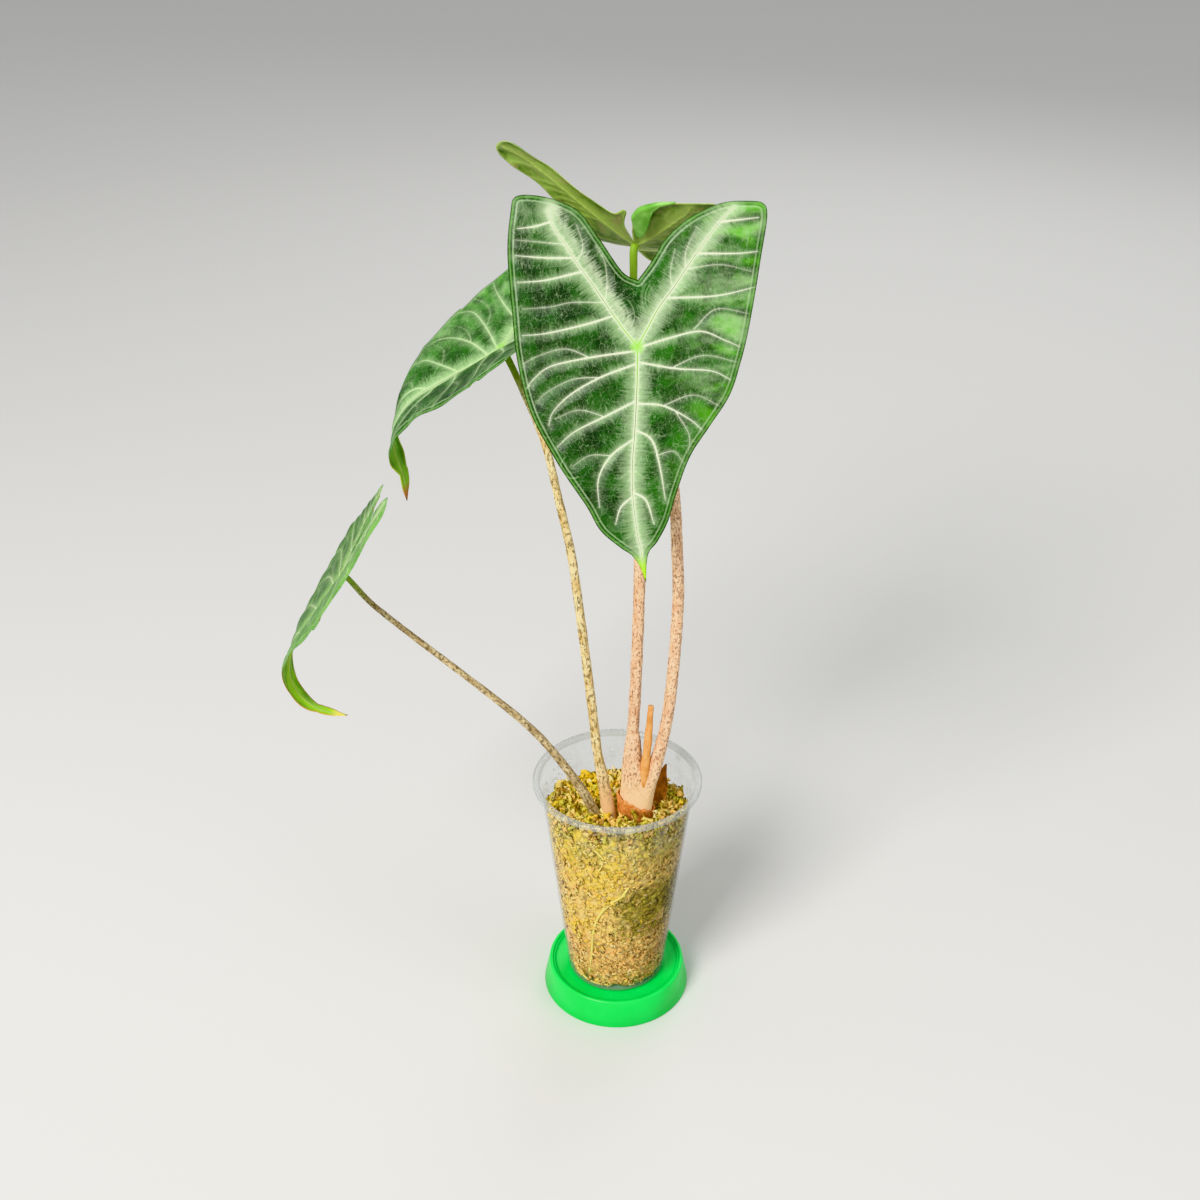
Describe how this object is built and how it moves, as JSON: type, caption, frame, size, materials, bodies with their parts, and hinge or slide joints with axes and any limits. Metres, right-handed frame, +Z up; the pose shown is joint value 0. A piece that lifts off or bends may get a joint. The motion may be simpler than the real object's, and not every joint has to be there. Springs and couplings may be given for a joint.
{
  "type": "potted alocasia plant",
  "caption": "House plant with arrow-shaped veined leaves on tall stalks, rooted in moss in a clear tapered cup that stands in a round green saucer.",
  "frame": {"origin": "under the middle of the whole plant's box, on the surface that the saucer stands on; the cup's axis is at x 0.0545, y -0.0296", "axes": "+Z up along the cup's axis; -Y is the front, where the largest leaf faces; -X is the side of the drooping leaves"},
  "size_m": [0.2419, 0.1924, 0.4967],
  "materials": {
    "saucer": "smooth bright green moulded plastic",
    "cup": "clear thin plastic with condensation on the inside",
    "moss": "damp tangled sphagnum moss, tan and olive",
    "corm": "rough brown corm and pale roots",
    "stalk": "smooth pink-tan skin with brown flecks",
    "pale_stalk": "smooth cream-yellow skin with olive mottling",
    "dry_stem": "dry papery fibres",
    "leaf": "satin green blade with cream veins and silvery halos"
  },
  "bodies": {
    "root": {"saucer": "saucer", "cup": "cup", "moss": "moss", "corm_and_roots": "corm", "front_stalk": "stalk", "back_stalk": "stalk", "left_stalk": "pale_stalk", "lower_stalk": "pale_stalk", "old_stub": "dry_stem", "papery_collar": "dry_stem", "dry_sheath": "dry_stem", "front_leaf": "leaf", "back_leaf": "leaf", "left_leaf": "leaf", "lower_leaf": "leaf"}
  },
  "joints": []
}
